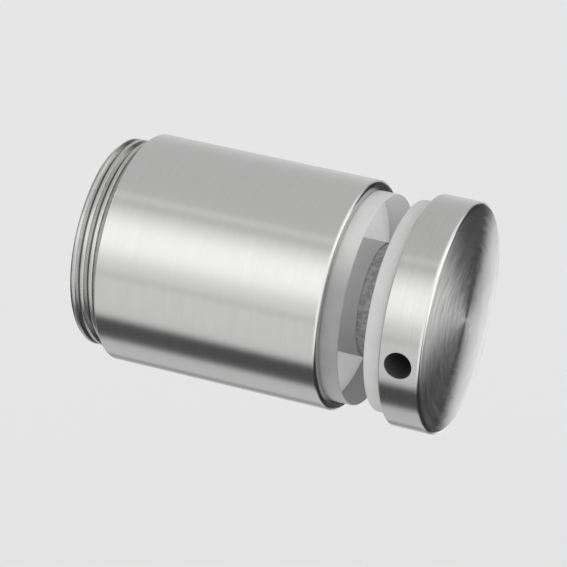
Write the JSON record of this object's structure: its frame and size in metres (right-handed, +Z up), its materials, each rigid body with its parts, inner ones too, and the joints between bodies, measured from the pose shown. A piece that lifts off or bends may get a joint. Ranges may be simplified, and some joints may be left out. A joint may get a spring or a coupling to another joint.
{
  "type": "glass point fixing",
  "caption": "Round steel standoff that holds a glass pane through a hole, with a threaded wall base, an adjusting sleeve, two gaskets and a screwed end cap.",
  "frame": {"origin": "centre of the base's wall face, where the axis of the wall bolt hole meets the wall", "axes": "+X along the fixing's axis from the wall to the end cap, +Z up, -Y towards the side with the tommy bar hole"},
  "size_m": [0.0813, 0.05, 0.05],
  "materials": {
    "brushed_steel": "satin brushed stainless steel",
    "turned_steel": "turned stainless steel thread",
    "screw_steel": "plain stainless steel screw thread",
    "clear_gasket": "clear soft plastic, polished face and frosted edge",
    "frosted_gasket": "frosted translucent soft plastic",
    "grey_bush": "grey turned plastic"
  },
  "bodies": {
    "wall_side": {"wall_base": "turned_steel"},
    "glass_seat": {"sleeve_gasket": "clear_gasket", "glass_bush": "grey_bush"},
    "sleeve": {"adjusting_sleeve": "brushed_steel"},
    "lock_screw": {"lock_screw": "screw_steel"},
    "cap_seat": {"cap_gasket": "frosted_gasket"},
    "cap": {"cap_disc": "brushed_steel", "clamp_stud": "screw_steel"}
  },
  "joints": [
    {"name": "sleeve_travel", "type": "slide", "parent": "wall_side", "child": "glass_seat", "axis": [1, 0, 0], "range_m": [-0.00701, 0.00601]},
    {"name": "sleeve_turn", "type": "hinge", "parent": "glass_seat", "child": "sleeve", "pos_m": [0.03, 0, 0], "axis": [1, 0, 0], "range_deg": [-1260, 1080]},
    {"name": "lock_screw_travel", "type": "slide", "parent": "sleeve", "child": "lock_screw", "axis": [0, 0, -1], "range_m": [0, 0.001]},
    {"name": "cap_travel", "type": "slide", "parent": "sleeve", "child": "cap_seat", "axis": [1, 0, 0], "range_m": [-0.00001, 0.01226]},
    {"name": "cap_turn", "type": "hinge", "parent": "cap_seat", "child": "cap", "pos_m": [0.0712, 0, 0], "axis": [1, 0, 0], "range_deg": [0, 2520]}
  ],
  "couplings": [
    {"joint": "sleeve_travel", "follows": "sleeve_turn", "m_per_rad": 0.00031831},
    {"joint": "cap_travel", "follows": "cap_turn", "m_per_rad": 0.00027852}
  ]
}
